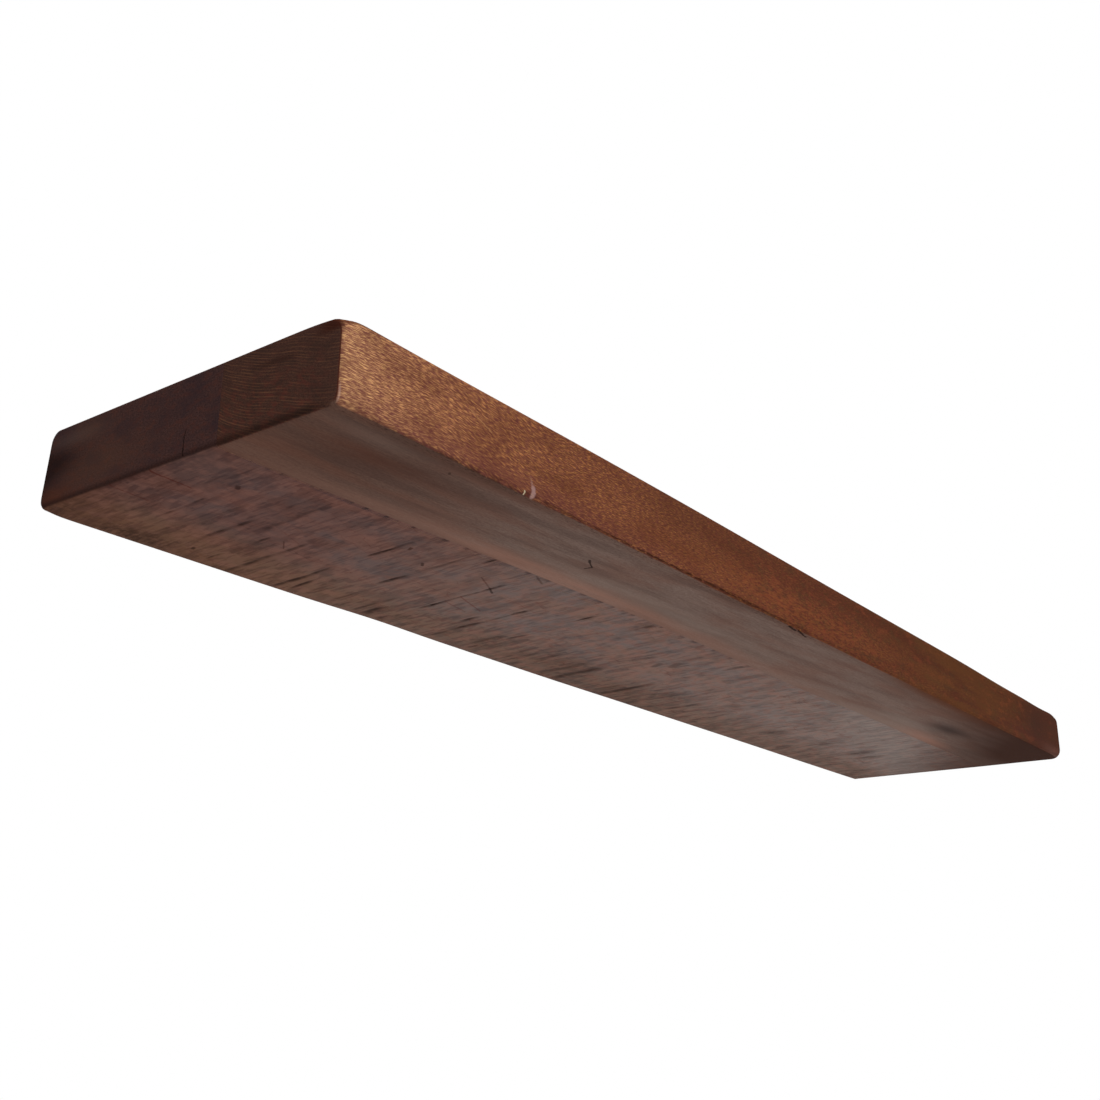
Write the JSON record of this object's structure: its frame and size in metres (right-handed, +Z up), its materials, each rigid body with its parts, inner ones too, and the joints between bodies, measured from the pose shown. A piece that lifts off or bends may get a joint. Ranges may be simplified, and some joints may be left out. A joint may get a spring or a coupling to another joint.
{
  "type": "floating wall shelf",
  "caption": "Thick edge-glued timber wall shelf with softened corners that slides onto a hidden steel bracket of welded rods on a wall plate.",
  "frame": {"origin": "on the wall plane, on the rear face of the bracket plate, at the middle of its length and height", "axes": "+X along the shelf, to the right seen from in front; +Y into the wall; +Z up"},
  "size_m": [0.9, 0.245, 0.04],
  "materials": {
    "front_board_wood": "warm brown stain over fine figure, satin",
    "rear_board_wood": "dark brown stain over sawn timber, dull",
    "tenon_wood": "bare pale hardwood",
    "bar_steel": "dark mill scale on hot rolled bar",
    "weld_steel": "rippled weld metal with heat tint",
    "screw_steel": "yellow zinc plate"
  },
  "bodies": {
    "bracket": {"bracket_plate": "bar_steel", "rod_1": "bar_steel", "rod_2": "bar_steel", "rod_3": "bar_steel", "rod_4": "bar_steel", "weld_bead_1": "weld_steel", "weld_bead_2": "weld_steel", "weld_bead_3": "weld_steel", "weld_bead_4": "weld_steel", "wall_screw_1": "screw_steel", "wall_screw_2": "screw_steel", "wall_screw_3": "screw_steel", "wall_screw_4": "screw_steel", "wall_screw_5": "screw_steel", "wall_screw_6": "screw_steel"},
    "shelf": {"front_board": "front_board_wood", "rear_board": "rear_board_wood", "loose_tenon_1": "tenon_wood", "loose_tenon_2": "tenon_wood", "loose_tenon_3": "tenon_wood", "loose_tenon_4": "tenon_wood", "loose_tenon_5": "tenon_wood"}
  },
  "joints": [
    {"name": "shelf_slide", "type": "slide", "parent": "bracket", "child": "shelf", "axis": [0, -1, 0], "range_m": [0, 0.165]}
  ]
}
